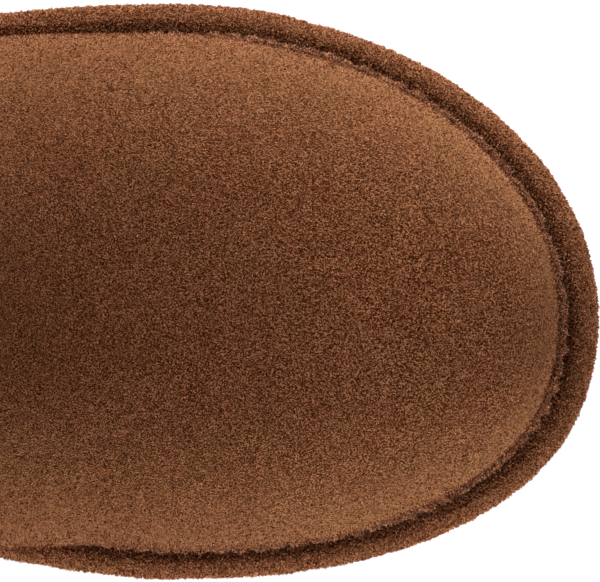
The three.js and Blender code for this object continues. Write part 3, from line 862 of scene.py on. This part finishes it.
def nap(name, points, normals, count, material, length, closed=False, keep=None, shade=None):
    """Fibres over a grid of points, each a thin three-sided spike, spread evenly by area."""
    if closed:
        points = np.concatenate([points, points[:, :1]], axis=1)
        normals = np.concatenate([normals, normals[:, :1]], axis=1)
    side_a = points[1:, :-1] - points[:-1, :-1]
    side_b = points[:-1, 1:] - points[:-1, :-1]
    weight = np.linalg.norm(np.cross(side_a, side_b), axis=-1)
    if keep is not None:
        weight = weight * keep(points[:-1, :-1], normals[:-1, :-1])
    chance = np.cumsum(weight.ravel())
    cell = np.searchsorted(chance, RANDOM.random(count) * chance[-1])
    r, c = np.unravel_index(np.minimum(cell, weight.size - 1), weight.shape)
    u, v = RANDOM.random((2, count, 1))

    def at(grid):
        low = mix(grid[r, c], grid[r, c + 1], u)
        high = mix(grid[r + 1, c], grid[r + 1, c + 1], u)
        return mix(low, high, v)

    root = at(points)
    normal = unit(at(normals))
    wander = RANDOM.normal(size=(count, 3))
    lean = NAP_LEAN + NAP_WANDER * wander
    lean -= normal * np.sum(lean * normal, axis=1, keepdims=True)
    way = unit(NAP_STAND * normal + lean * NAP_LIE)
    across = unit(np.cross(way, wander))
    third = np.cross(way, across)
    reach = RANDOM.uniform(*length, (count, 1))
    width = reach * RANDOM.uniform(*NAP_WIDTH, (count, 1))
    base = root - normal * NAP_SUNK
    corners = [base + width * (across * math.cos(a) + third * math.sin(a)) for a in SPIKE_ANGLES]
    tip = base + way * reach
    spikes = np.stack([*corners, tip], axis=1).reshape(-1, 3)
    start = np.arange(count)[:, None] * 4
    faces = np.concatenate([start + [0, 1, 3], start + [1, 2, 3], start + [2, 0, 3]])
    piece = new_piece(name, spikes, faces.tolist(), "suede", material, smooth_faces=False)
    # Each fibre takes the painted shade of the point where it stands
    if shade is not None:
        set_painted_shade(piece, np.repeat(shade[r, c % shade.shape[1]], 4))


def nap_colour(name, tones, painted_shade=False):
    n = Nodes(name)
    factor = n.spread((n.noise(0.3, 0.0, 0.5), 2.6), (n.noise(9, 2.0, 0.5), 0.12))
    colour = n.ramp(factor, list(zip((0.2, 0.5, 0.8), tones)))
    # Painted shade: the nap darkens towards the instep too
    colour = n.tinted(colour, n.distance(INSTEP_SHADE_AT, INSTEP_SHADE_REACH), INSTEP_PAINTED_SHADE, INSTEP_SHADE_STOPS)
    # Painted shade from the mesh's shade attribute
    if painted_shade:
        colour = n.shaded(colour)
    return n.finish(
        colour, Roughness=0.9, Specular_IOR_Level=0.04, Sheen_Weight=0.45, Sheen_Roughness=0.36,
        Sheen_Tint=SUEDE_SHEEN,
    )


NAP_TONES = [(62, 23, 6), (113, 60, 32), (201, 143, 104)]
NAP = nap_colour("nap", NAP_TONES)
WRAP_NAP = nap_colour("wrap_nap", NAP_TONES, painted_shade=True)
EDGE_NAP = nap_colour("edge_nap", [(78, 42, 28), (128, 80, 55), (200, 152, 120)])
FIBRES = {"toe": 50000, "wrap": 56000, "lip": 13000}
FIBRE_LENGTHS = {"toe": (0.36, 0.74), "wrap": (0.42, 0.95), "lip": (0.4, 0.9)}


def toe_only(points, _):
    """Share of the nap that stands at each point: none on the heel's half or high on the shaft."""
    return smooth((points[..., 1] + 5) / 40) * smooth((150 - points[..., 2]) / 40)


def above_floor(points, normals):
    """Share of the wrap's nap at each point: most on top of the toe's half, none underneath."""
    toe_end = 0.25 + 0.75 * smooth((points[..., 1] + 30) / 40)
    upward = 0.4 + 0.6 * smooth(normals[..., 2] * 2)
    return smooth((points[..., 2] - 10) / 4) * (normals[..., 2] > -0.5) * toe_end * upward


for part in ("a", "b"):
    nap(
        "nap_toe_" + part, front_points, front_normals, FIBRES["toe"], NAP, FIBRE_LENGTHS["toe"],
        keep=toe_only,
    )
nap(
    "nap_wrap", wrap_points, wrap_normals, FIBRES["wrap"], WRAP_NAP, FIBRE_LENGTHS["wrap"],
    closed=True, keep=above_floor, shade=wrap_painted_shade,
)
LIP_TOP = slice(2, 7)  # the rings of the lip that face up and out
lip_normals = -normals_of(rings[:-1], closed=True)[LIP_TOP]
nap(
    "nap_lip", rings[LIP_TOP], lip_normals, FIBRES["lip"], EDGE_NAP, FIBRE_LENGTHS["lip"], closed=True,
)


# Fleece inside the shaft: over the rim of the collar and down to the footbed
FLEECE_COLUMNS = 250
fleece_turn = np.arange(FLEECE_COLUMNS) / FLEECE_COLUMNS
RIM_STEPS = 20
FLEECE_RISE = 2.0  # how high the fleece stands over the collar
FLEECE_SWELLS = ((0.75, 3.4, 31), (0.45, 1.7, 32), (0.5, 9, 33))


def fleece_rows():
    """Rows of the fleece: share of height, depth in from the outer face, rise over the collar."""
    for angle in np.linspace(0.05, math.pi, RIM_STEPS):
        depth = HIDE + (WALL - HIDE) * (1 - math.cos(angle)) / 2
        yield 1.0, depth, FLEECE_RISE * math.sin(angle)
    for share in rows_of((0.995, 0.6, 76), (0.6, 0.02, 56)):
        yield share, WALL, 0.0


fleece_share, depth, rise = np.array(list(fleece_rows())).T[..., None]
turn, share = np.meshgrid(fleece_turn, fleece_share)
hide_points = outer_points(turn, share)
probe = outer_points(turn, np.minimum(share, 0.999) - 0.004)
upward = outer_points(turn, np.minimum(share, 0.999)) - probe
sideways = np.roll(hide_points, -1, axis=1) - np.roll(hide_points, 1, axis=1)
inward = -np.cross(upward, sideways)
inward[share == 1.0, 2] = 0
fleece_points = hide_points + unit(inward) * depth[..., None]
fleece_points[..., 2] += rise
curl = swells(fleece_points, FLEECE_SWELLS) * smooth((depth - HIDE) / 1.5)
fleece_normals = normals_of(fleece_points, closed=True)
fleece_points = fleece_points + fleece_normals * curl[..., None]
lining = grid_piece("fleece_lining", fleece_points, "fleece", FLEECE)


def curl_lock(row, column):
    """One curled lock of fleece, standing out of the lining."""
    root = fleece_points[row, column]
    out = fleece_normals[row, column]
    ahead = unit(np.cross(out, RANDOM.normal(size=3)))
    size = RANDOM.uniform(0.9, 1.7)
    steps = np.linspace(0, 1, LOCK_POINTS)[:, None]
    angle = steps * RANDOM.uniform(3.0, 5.5)
    curled = out * (0.5 * np.sin(angle) + 0.9 * steps) + ahead * (1 - np.cos(angle)) * 0.7
    return tube(root - out * 0.4 + size * curled, np.linspace(0.42, 0.12, LOCK_POINTS), 4)


LOCKS = 700
LOCK_POINTS = 7
LOCK_ROWS = (3, 48)  # of the fleece: over the rim and down its upper part
lock_rows = RANDOM.integers(*LOCK_ROWS, LOCKS)
lock_columns = RANDOM.integers(0, FLEECE_COLUMNS, LOCKS)
locks = joined([curl_lock(r, c) for r, c in zip(lock_rows, lock_columns)])
new_piece("fleece_locks", *locks, "fleece", FLEECE)

# Footbed
BED_COLUMNS = 200
BED_RINGS = 30
BED_SWELLS = ((0.5, 3.6, 41), (0.5, 14, 42))
BED_EDGE = 2.5  # how far its edge is rounded down
bed_turn = np.arange(BED_COLUMNS) / BED_COLUMNS
bed_inset = LEDGE + WALL + GAP + BULGE
bed_x, bed_y, bed_spine = plan_point(bed_turn, bed_inset)
bed_share = 1 - np.linspace(0, 0.97, BED_RINGS)[:, None]
bed_y = mix(bed_spine, bed_y, bed_share)
bed_points = np.stack([bed_x * bed_share, bed_y, np.zeros_like(bed_y)], axis=-1)
bed_points[..., 2] = seat_at(bed_points[..., 1]) + GAP + INSOLE
bed_points[..., 2] += swells(bed_points, BED_SWELLS)
bed_points[0, :, 2] -= BED_EDGE
bed_skirt = bed_points[:1].copy()
bed_skirt[..., 2] = seat_at(bed_skirt[..., 1]) + GAP
bed_points = np.concatenate([bed_skirt, bed_points])
bed_faces = grid_faces(*bed_points.shape[:2], closed=True, flip=True)
last = (len(bed_points) - 1) * BED_COLUMNS
bed_faces.append([last + i for i in range(BED_COLUMNS)][::-1])
bed_faces.append(list(range(BED_COLUMNS)))
bed = new_piece("footbed_fleece", bed_points, bed_faces, "fleece", FLEECE)
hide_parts("insole")

# The collar's cut edge
COLLAR_COLUMNS = 480
COLLAR_SIDES = 10
collar_turn = np.arange(COLLAR_COLUMNS) / COLLAR_COLUMNS
collar_rings = []
collar_base = outer_points(collar_turn, np.ones(COLLAR_COLUMNS))
collar_ahead = np.roll(collar_base, -1, axis=0) - np.roll(collar_base, 1, axis=0)
collar_in = unit(np.cross([0, 0, 1.0], collar_ahead))
if collar_in[0, 1] > 0:
    collar_in = -collar_in


def squared(share):
    """A sine or cosine drawn out towards its ends, for a section between round and square."""
    return np.sign(share) * abs(share) ** 0.6


for k in range(COLLAR_SIDES):
    angle = k / COLLAR_SIDES * 2 * math.pi
    ring = collar_base + collar_in * HIDE * (0.5 + 0.62 * squared(math.cos(angle)))
    ring[:, 2] += 0.7 * squared(math.sin(angle)) - 0.55
    ring += 0.16 * noise(ring, 2.2, 51)[:, None] * collar_in
    collar_rings.append(ring)
collar_rings = np.stack(collar_rings + collar_rings[:1])
grid_piece("collar_edge", collar_rings, "suede_edge", EDGE, flip=False)


# Overlays on the back: heel counter and back stay
PROBE = 0.0015  # of a turn and of the height, for the slope of the hide


def surface_frame(turn, share):
    """Points on the hide with their outward normals."""
    points = outer_points(turn, share)
    low = np.clip(np.asarray(share) - PROBE, 0, 1)
    high = np.clip(np.asarray(share) + PROBE, 0, 1)
    up = outer_points(turn, high) - outer_points(turn, low)
    ahead = outer_points(turn + PROBE, share) - outer_points(turn - PROBE, share)
    return points, unit(np.cross(up, ahead))


def edge_distance(points):
    """Distance in mm from the nearest border of a grid of points."""
    run = row_runs(points)
    climb = row_runs(points.transpose(1, 0, 2)).T
    return np.minimum(np.minimum(run, run[:, -1:] - run), np.minimum(climb, climb[-1:] - climb))


OVERLAY_RISE = 1.75
OVERLAY_SWELL = 0.7  # how much of the hide's own unevenness shows through
EDGE_ROUND = 0.7
STITCH_IN = 2.6  # a stitch row's distance from the edge
STITCH_GROOVE = {"depth": 0.28, "width": 0.7}
STITCH_LENGTH = 2.2
STITCH_PITCH = 3.1
STITCH_RADIUS = 0.3
STITCH_ARCH = np.array([-0.25, 0.1, 0.22, 0.22, 0.1, -0.25])


def overlay(name, turn, share):
    points, normal = surface_frame(turn, share)
    away = edge_distance(points)
    round_edge = 1 - np.exp(-((away / EDGE_ROUND) ** 1.3))
    groove = bell(away - STITCH_IN, STITCH_GROOVE["width"]) * STITCH_GROOVE["depth"]
    lift = OVERLAY_RISE * round_edge - groove + soft_surface(points, turn, share) * OVERLAY_SWELL
    raised = points + normal * lift[..., None]
    rows, columns = turn.shape
    faces = grid_faces(rows, columns, flip=True)
    rim = list(range(columns))
    rim += [r * columns + columns - 1 for r in range(1, rows)]
    rim += [(rows - 1) * columns + c for c in range(columns - 2, -1, -1)]
    rim += [r * columns for r in range(rows - 2, 0, -1)]
    under = (points - normal * 0.2).reshape(-1, 3)[rim]
    first = rows * columns
    for k in range(len(rim)):
        j = (k + 1) % len(rim)
        faces.append([rim[k], rim[j], first + j, first + k])
    return new_piece(name, np.concatenate([raised.reshape(-1, 3), under]), faces, "suede", SUEDE)


def stitches_along(path, normals):
    """Short threads on a path, each sunk at both ends."""
    run = run_along(path)
    parts = []
    for start in np.arange(1, run[-1] - STITCH_PITCH, STITCH_PITCH):
        at = start + np.linspace(0, STITCH_LENGTH, len(STITCH_ARCH))
        arch = spots_on(at, run, normals) * STITCH_ARCH[:, None]
        parts.append(tube(spots_on(at, run, path) + arch, STITCH_RADIUS))
    return parts


def inner_rows(turn, share, borders):
    """Stitch paths a little inside the named borders of an overlay."""
    parts = []
    points, normal = surface_frame(turn, share)
    lift = OVERLAY_RISE - 0.2 + soft_surface(points, turn, share) * OVERLAY_SWELL
    surface = points + normal * lift[..., None]
    for border in borders:
        if border in ("top", "bottom"):
            grid, tilts = surface, normal
        else:
            grid, tilts = surface.transpose(1, 0, 2), normal.transpose(1, 0, 2)
        if border in ("top", "end"):
            grid, tilts = grid[::-1], tilts[::-1]
        climbs = row_runs(grid.transpose(1, 0, 2))
        row = np.array([np.interp(STITCH_IN, climb, np.arange(len(grid))) for climb in climbs])
        low = np.clip(row.astype(int), 0, len(grid) - 2)
        c = np.arange(grid.shape[1])
        path = mix(grid[low, c], grid[low + 1, c], (row - low)[:, None])
        parts += stitches_along(path[4:-4], tilts[low, c][4:-4])
    return parts


def counter_top(y):
    fall = smooth((y + LENGTH / 2) / COUNTER_LENGTH) * (1 - COUNTER_FRONT)
    return seat_at(y) + COUNTER_HEIGHT * (1 - fall)


# A lattice over the heel's half of the hide finds the counter's top edge and its front ends
lattice_turn = np.linspace(0.25, 0.75, 161)
lattice_share = np.linspace(0, 0.45, 121)
lattice = outer_points(*np.meshgrid(lattice_turn, lattice_share, indexing="ij"))
over_top = lattice[..., 2] - counter_top(lattice[..., 1])
top_share = np.array([np.interp(0, row, lattice_share) for row in over_top])
front_y = COUNTER_LENGTH - LENGTH / 2
middle = len(lattice_turn) // 2
inner_half, outer_half = slice(None, middle + 1), slice(middle, None)
lattice_y = lattice[..., 1].T
inner_front = np.array([np.interp(-front_y, -y[inner_half], lattice_turn[inner_half]) for y in lattice_y])
outer_front = np.array([np.interp(front_y, y[outer_half], lattice_turn[outer_half]) for y in lattice_y])

COUNTER_FOOT = 2.6  # how far over the seat the counter begins
across, climb = np.meshgrid(np.linspace(-1, 1, 170), np.linspace(0, 1, 54))
share = np.full(across.shape, 0.1)
for _ in range(4):
    inner_reach = 0.5 - np.interp(share, lattice_share, inner_front)
    outer_reach = np.interp(share, lattice_share, outer_front) - 0.5
    turn = 0.5 + across * np.where(across < 0, inner_reach, outer_reach)
    share = mix(COUNTER_FOOT / HEIGHT_OVER_SEAT, np.interp(turn, lattice_turn, top_share), climb)
counter = overlay("heel_counter_suede", turn, share)
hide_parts("heel_counter")
thread_parts = inner_rows(turn, share, ("top", "start", "end"))

STAY_OVER_COUNTER = 0.6
STAY_BELOW_COLLAR = 1.0
STAY_COLUMNS = 26
stay_low = np.interp(0.5, lattice_turn, top_share) + STAY_OVER_COUNTER / HEIGHT_OVER_SEAT
stay_share = np.linspace(stay_low, 1 - STAY_BELOW_COLLAR / HEIGHT_OVER_SEAT, 100)
near_back = np.linspace(0.45, 0.55, 81)
stay_lattice = outer_points(*np.meshgrid(near_back, stay_share, indexing="ij"))
stay_x = np.linspace(-STAY_WIDTH / 2, STAY_WIDTH / 2, STAY_COLUMNS)
stay_turn = np.array([np.interp(-stay_x, -x, near_back) for x in stay_lattice[..., 0].T])[:, ::-1]
share = np.repeat(stay_share[:, None], STAY_COLUMNS, axis=1)
stay = overlay("back_stay_suede", stay_turn, share)
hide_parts("back_stay")
thread_parts += inner_rows(stay_turn, share, ("start", "end"))


ZIGZAG = {"swing": 1.9, "stride": 2.3, "lift": 0.42, "sinks": 0.5, "sink_width": 0.35, "radius": 0.27}


def zigzag(seam_turn):
    """Thread that runs from side to side over a side seam, sunk where it turns."""
    shares = np.linspace(0.012, 0.992, 400)
    turns = np.full(len(shares), seam_turn)
    line, normal = surface_frame(turns, shares)
    line = line + normal * soft_surface(line, turns, shares)[:, None]
    aside = np.cross(normal, unit(np.gradient(line, axis=0)))
    run = run_along(line)
    at = np.arange(0, run[-1], 0.4)
    phase = (at / ZIGZAG["stride"]) % 2
    swing = ZIGZAG["swing"] * (np.abs(phase - 1) * 2 - 1)
    sunk = bell(np.abs(swing) - ZIGZAG["swing"], ZIGZAG["sink_width"])
    lift = ZIGZAG["lift"] - ZIGZAG["sinks"] * sunk
    path = spots_on(at, run, line) + spots_on(at, run, normal) * lift[:, None]
    path += spots_on(at, run, aside) * swing[:, None]
    return tube(path, ZIGZAG["radius"], 5)


thread_parts += [zigzag(SIDE_SEAM), zigzag(1 - SIDE_SEAM)]
new_piece("seam_stitches", *joined(thread_parts), "suede", SEAM_THREAD)

# CAD nodes that stay, with their finish
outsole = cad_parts["outsole"]
outsole.data.materials.clear()
outsole.data.materials.append(RUBBER)


# Camera straight above the toe, toe to the right
CAMERA_HEIGHT = 1.3  # in metres, over the middle of its frame
FRAME_WIDTH = 108.1
FRAME_CENTRE = (-0.05, 80.4, 20.0)
SENSOR = 36

camera_data = bpy.data.cameras.new("camera")
camera_data.sensor_width = SENSOR
camera_data.lens = SENSOR * CAMERA_HEIGHT / (FRAME_WIDTH * MM)
camera_data.clip_end = 100
camera = in_scene("camera", camera_data)
bpy.context.scene.camera = camera
camera.location = [v * MM for v in FRAME_CENTRE]
camera.location.z += CAMERA_HEIGHT
camera.rotation_euler = (0, 0, math.pi / 2)


# Floor, world and lights
FLOOR_SIZE = 12.0  # in metres
floor_mesh = bpy.data.meshes.new("floor")
half = FLOOR_SIZE / 2
floor_corners = [(-half, -half, 0), (half, -half, 0), (half, half, 0), (-half, half, 0)]
floor_mesh.from_pydata(floor_corners, [], [[0, 1, 2, 3]])
floor = in_scene("floor", floor_mesh)
floor_look = Nodes("floor").finish(
    (0.9, 0.9, 0.9, 1.0), Roughness=1.0, Specular_IOR_Level=0.0, Emission_Color=(1.0, 1.0, 1.0, 1.0),
    Emission_Strength=0.75,
)
floor_mesh.materials.append(floor_look)

world = bpy.data.worlds.new("world")
world.use_nodes = True
background = world.node_tree.nodes["Background"].inputs
background["Color"].default_value = (1, 1, 1, 1)
background["Strength"].default_value = 0.15
bpy.context.scene.world = world
bpy.context.scene.view_settings.view_transform = "Standard"


def area_light(name, place, size, power):
    data = bpy.data.lights.new(name, "AREA")
    data.shape = "SQUARE"
    data.size = size
    data.energy = power
    light = in_scene(name, data)
    light.location = place
    direction = mathutils.Vector(LIGHT_AIM) - mathutils.Vector(place)
    light.rotation_euler = direction.to_track_quat("-Z", "Y").to_euler()


LIGHT_AIM = (0, 0.05, 0.05)
# name, place in metres, size in metres, power in watts
area_light("key", (-1.5, -0.35, 0.55), 0.8, 37)
area_light("fill", (1.5, -0.55, 0.5), 1.0, 33)
area_light("toe", (-0.2, 1.7, 0.6), 1.0, 13)
